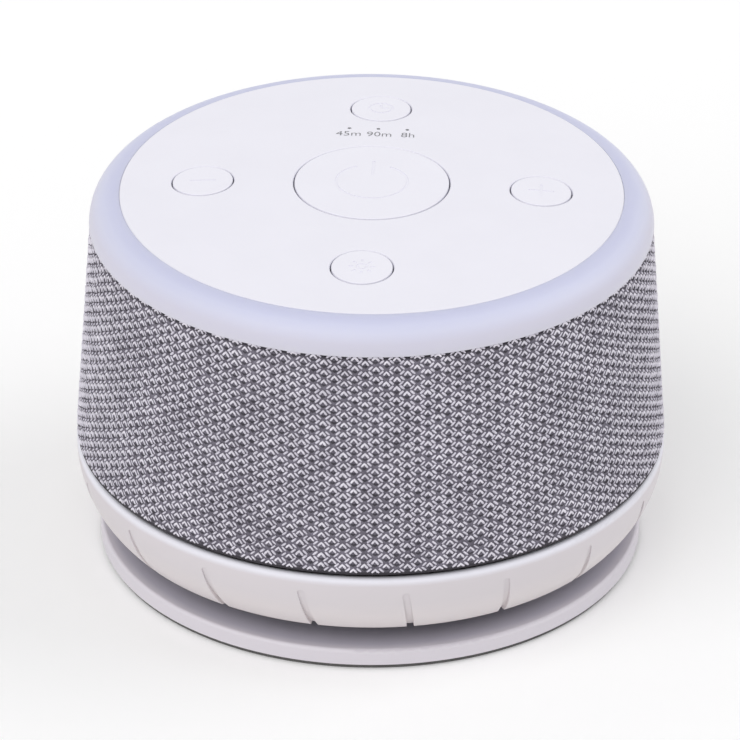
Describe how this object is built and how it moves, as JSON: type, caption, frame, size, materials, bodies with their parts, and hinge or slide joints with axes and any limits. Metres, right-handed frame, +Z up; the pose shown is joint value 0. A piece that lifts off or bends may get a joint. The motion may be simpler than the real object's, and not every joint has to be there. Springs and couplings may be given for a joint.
{
  "type": "white noise sound machine",
  "caption": "Low round fan-driven sound machine with a domed button panel, light ring, knitted sleeve, turning grip collar and open-gap base.",
  "frame": {"origin": "centre of the footprint on the table", "axes": "+Z up along the fan's axis, -Y towards the light button at the front, +X towards the plus button"},
  "size_m": [0.1498, 0.1498, 0.1],
  "materials": {
    "white_plastic": "fine-textured white moulded plastic",
    "button_plastic": "smooth satin white moulded plastic",
    "light_diffuser": "translucent frosted pale lavender diffuser",
    "clear_plastic": "clear moulded light pipe",
    "knit_fabric": "two-tone grey open knit mesh",
    "foot_rubber": "matt dark grey rubber",
    "grey_plastic": "plain dark grey moulded plastic",
    "black_plastic": "plain black moulded plastic",
    "cream_plastic": "natural nylon",
    "steel": "zinc-plated steel",
    "bronze": "plain bronze",
    "dark_iron": "sintered magnet and laminated iron",
    "led_body": "moulded lamp package",
    "circuit_board": "green solder mask",
    "lead_jacket": "black insulated lead"
  },
  "bodies": {
    "root": {"foot_ring": "foot_rubber", "base_plate": "white_plastic", "base_screws": "steel", "dc_jack": "black_plastic", "dc_jack_pin": "steel", "intake_collar": "grey_plastic", "lower_chassis": "grey_plastic", "isolation_grommets": "foot_rubber", "bracket_screws": "steel", "motor_bracket": "steel", "motor_can": "steel", "motor_end_bell": "black_plastic", "motor_bearings": "bronze", "motor_magnets": "dark_iron", "fan_housing": "grey_plastic", "fan_cover": "grey_plastic", "cover_screws": "steel", "top_frame": "grey_plastic", "frame_screws": "steel", "grille_shell": "grey_plastic", "fabric_sleeve": "knit_fabric", "light_ring": "light_diffuser", "reflector_ring": "white_plastic", "top_plate": "white_plastic", "plate_screws": "steel", "board_screws": "steel", "control_board": "circuit_board", "switch_bodies": "black_plastic", "ring_leds": "led_body", "indicator_leds": "led_body", "indicator_light_pipe": "clear_plastic", "controller_chip": "black_plastic", "board_connectors": "cream_plastic", "board_capacitor": "black_plastic", "power_lead": "lead_jacket", "motor_lead": "lead_jacket"},
    "tone_control": {"tone_ring": "white_plastic", "shutter_ring": "grey_plastic"},
    "fan": {"motor_shaft": "steel", "motor_armature": "dark_iron", "motor_commutator": "bronze", "impeller": "grey_plastic", "fan_nut": "steel"},
    "power_key": {"power_button": "button_plastic", "power_plunger": "black_plastic"},
    "plus_key": {"plus_button": "button_plastic", "plus_plunger": "black_plastic"},
    "timer_key": {"timer_button": "button_plastic", "timer_plunger": "black_plastic"},
    "minus_key": {"minus_button": "button_plastic", "minus_plunger": "black_plastic"},
    "light_key": {"light_button": "button_plastic", "light_plunger": "black_plastic"}
  },
  "joints": [
    {"name": "tone_turn", "type": "hinge", "parent": "root", "child": "tone_control", "pos_m": [0, 0, 0.021], "axis": [0, 0, 1], "range_deg": [-11, 11]},
    {"name": "fan_spin", "type": "hinge", "parent": "root", "child": "fan", "pos_m": [0, 0, 0.03], "axis": [0, 0, 1], "continuous": true},
    {"name": "power_press", "type": "slide", "parent": "root", "child": "power_key", "axis": [0, 0, -1], "range_m": [0, 0.0007], "stiffness_N_per_m": 2000},
    {"name": "plus_press", "type": "slide", "parent": "root", "child": "plus_key", "axis": [0, 0, -1], "range_m": [0, 0.0006], "stiffness_N_per_m": 2000},
    {"name": "timer_press", "type": "slide", "parent": "root", "child": "timer_key", "axis": [0, 0, -1], "range_m": [0, 0.0006], "stiffness_N_per_m": 2000},
    {"name": "minus_press", "type": "slide", "parent": "root", "child": "minus_key", "axis": [0, 0, -1], "range_m": [0, 0.0006], "stiffness_N_per_m": 2000},
    {"name": "light_press", "type": "slide", "parent": "root", "child": "light_key", "axis": [0, 0, -1], "range_m": [0, 0.0006], "stiffness_N_per_m": 2000}
  ]
}
